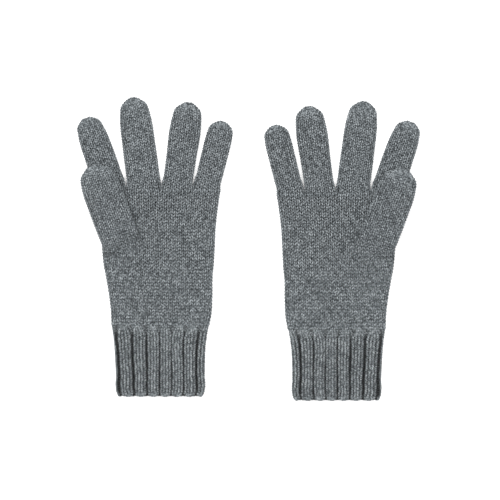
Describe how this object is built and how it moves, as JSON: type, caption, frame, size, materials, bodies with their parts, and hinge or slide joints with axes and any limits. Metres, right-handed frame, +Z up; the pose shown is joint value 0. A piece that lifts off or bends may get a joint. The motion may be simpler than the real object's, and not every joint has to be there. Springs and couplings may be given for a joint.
{
  "type": "knitted gloves",
  "caption": "Pair of plain knitted gloves lying palm up, with ribbed cuffs, separate fingers that fold and spread, and thumbs that lie on the palms.",
  "frame": {"origin": "middle of the pair's outline, on the surface that the gloves lie on", "axes": "+X from the left-hand glove to the right-hand glove, +Y towards the fingertips, +Z up out of the palms"},
  "size_m": [0.2862, 0.254, 0.0183],
  "materials": {
    "plain_knit": "matte",
    "rib_knit": "matte",
    "edge_yarn": "matte",
    "tip_knit": "matte"
  },
  "bodies": {
    "left_hand": {"left_hand": "plain_knit"},
    "left_cuff": {"left_cuff": "rib_knit", "left_cast_on_edge": "edge_yarn"},
    "left_index_base": {"left_index_lower": "plain_knit"},
    "left_index_end": {"left_index_upper": "plain_knit", "left_index_tip": "tip_knit"},
    "left_middle_base": {"left_middle_lower": "plain_knit"},
    "left_middle_end": {"left_middle_upper": "plain_knit", "left_middle_tip": "tip_knit"},
    "left_ring_base": {"left_ring_lower": "plain_knit"},
    "left_ring_end": {"left_ring_upper": "plain_knit", "left_ring_tip": "tip_knit"},
    "left_little_base": {"left_little_lower": "plain_knit"},
    "left_little_end": {"left_little_upper": "plain_knit", "left_little_tip": "tip_knit"},
    "left_thumb_base": {"left_thumb_lower": "plain_knit"},
    "left_thumb_end": {"left_thumb_upper": "plain_knit", "left_thumb_tip": "tip_knit"},
    "right_hand": {"right_hand": "plain_knit"},
    "right_cuff": {"right_cuff": "rib_knit", "right_cast_on_edge": "edge_yarn"},
    "right_index_base": {"right_index_lower": "plain_knit"},
    "right_index_end": {"right_index_upper": "plain_knit", "right_index_tip": "tip_knit"},
    "right_middle_base": {"right_middle_lower": "plain_knit"},
    "right_middle_end": {"right_middle_upper": "plain_knit", "right_middle_tip": "tip_knit"},
    "right_ring_base": {"right_ring_lower": "plain_knit"},
    "right_ring_end": {"right_ring_upper": "plain_knit", "right_ring_tip": "tip_knit"},
    "right_little_base": {"right_little_lower": "plain_knit"},
    "right_little_end": {"right_little_upper": "plain_knit", "right_little_tip": "tip_knit"},
    "right_thumb_base": {"right_thumb_lower": "plain_knit"},
    "right_thumb_end": {"right_thumb_upper": "plain_knit", "right_thumb_tip": "tip_knit"}
  },
  "joints": [
    {"name": "left_wrist_fold", "type": "hinge", "parent": "left_hand", "child": "left_cuff", "pos_m": [-0.07375, -0.06621, 0.0063], "axis": [-1, 0, 0], "range_deg": [0, 60]},
    {"name": "left_index_spread", "type": "hinge", "parent": "left_hand", "child": "left_index_base", "pos_m": [-0.11575, 0.05329, 0.0045], "axis": [0, 0, 1], "range_deg": [-4, 10]},
    {"name": "left_index_fold", "type": "hinge", "parent": "left_index_base", "child": "left_index_end", "pos_m": [-0.1247, 0.07929, 0.0063], "axis": [0.9455, 0.3256, 0], "range_deg": [0, 80]},
    {"name": "left_middle_spread", "type": "hinge", "parent": "left_hand", "child": "left_middle_base", "pos_m": [-0.0876, 0.05329, 0.0045], "axis": [0, 0, 1], "range_deg": [-3, 3]},
    {"name": "left_middle_fold", "type": "hinge", "parent": "left_middle_base", "child": "left_middle_end", "pos_m": [-0.09168, 0.08654, 0.0063], "axis": [0.9925, 0.1219, 0], "range_deg": [0, 80]},
    {"name": "left_ring_spread", "type": "hinge", "parent": "left_hand", "child": "left_ring_base", "pos_m": [-0.05965, 0.05329, 0.0045], "axis": [0, 0, 1], "range_deg": [-2, 3]},
    {"name": "left_ring_fold", "type": "hinge", "parent": "left_ring_base", "child": "left_ring_end", "pos_m": [-0.05581, 0.08455, 0.0063], "axis": [0.9925, -0.1219, 0], "range_deg": [0, 80]},
    {"name": "left_little_spread", "type": "hinge", "parent": "left_hand", "child": "left_little_base", "pos_m": [-0.03445, 0.05329, 0.0045], "axis": [0, 0, 1], "range_deg": [-12, 2]},
    {"name": "left_little_fold", "type": "hinge", "parent": "left_little_base", "child": "left_little_end", "pos_m": [-0.02885, 0.07663, 0.0063], "axis": [0.9724, -0.2334, 0], "range_deg": [0, 80]},
    {"name": "left_thumb_swing", "type": "hinge", "parent": "left_hand", "child": "left_thumb_base", "pos_m": [-0.10822, 0.01279, 0.0138], "axis": [0, 0, 1], "range_deg": [-12, 45]},
    {"name": "left_thumb_fold", "type": "hinge", "parent": "left_thumb_base", "child": "left_thumb_end", "pos_m": [-0.11701, 0.03832, 0.0156], "axis": [0.9455, 0.3256, 0], "range_deg": [0, 75]},
    {"name": "right_glove_lift", "type": "slide", "parent": "left_hand", "child": "right_hand", "axis": [0, 0, 1], "range_m": [0, 0.15]},
    {"name": "right_wrist_fold", "type": "hinge", "parent": "right_hand", "child": "right_cuff", "pos_m": [0.07375, -0.06951, 0.0063], "axis": [-1, 0, 0], "range_deg": [0, 60]},
    {"name": "right_index_spread", "type": "hinge", "parent": "right_hand", "child": "right_index_base", "pos_m": [0.11575, 0.04999, 0.0045], "axis": [0, 0, -1], "range_deg": [-4, 10]},
    {"name": "right_index_fold", "type": "hinge", "parent": "right_index_base", "child": "right_index_end", "pos_m": [0.1247, 0.07599, 0.0063], "axis": [0.9455, -0.3256, 0], "range_deg": [0, 80]},
    {"name": "right_middle_spread", "type": "hinge", "parent": "right_hand", "child": "right_middle_base", "pos_m": [0.0876, 0.04999, 0.0045], "axis": [0, 0, -1], "range_deg": [-3, 3]},
    {"name": "right_middle_fold", "type": "hinge", "parent": "right_middle_base", "child": "right_middle_end", "pos_m": [0.09168, 0.08324, 0.0063], "axis": [0.9925, -0.1219, 0], "range_deg": [0, 80]},
    {"name": "right_ring_spread", "type": "hinge", "parent": "right_hand", "child": "right_ring_base", "pos_m": [0.05965, 0.04999, 0.0045], "axis": [0, 0, -1], "range_deg": [-2, 3]},
    {"name": "right_ring_fold", "type": "hinge", "parent": "right_ring_base", "child": "right_ring_end", "pos_m": [0.05581, 0.08125, 0.0063], "axis": [0.9925, 0.1219, 0], "range_deg": [0, 80]},
    {"name": "right_little_spread", "type": "hinge", "parent": "right_hand", "child": "right_little_base", "pos_m": [0.03445, 0.04999, 0.0045], "axis": [0, 0, -1], "range_deg": [-12, 2]},
    {"name": "right_little_fold", "type": "hinge", "parent": "right_little_base", "child": "right_little_end", "pos_m": [0.02885, 0.07333, 0.0063], "axis": [0.9724, 0.2334, 0], "range_deg": [0, 80]},
    {"name": "right_thumb_swing", "type": "hinge", "parent": "right_hand", "child": "right_thumb_base", "pos_m": [0.10822, 0.00949, 0.0138], "axis": [0, 0, -1], "range_deg": [-12, 45]},
    {"name": "right_thumb_fold", "type": "hinge", "parent": "right_thumb_base", "child": "right_thumb_end", "pos_m": [0.11701, 0.03502, 0.0156], "axis": [0.9455, -0.3256, 0], "range_deg": [0, 75]}
  ]
}
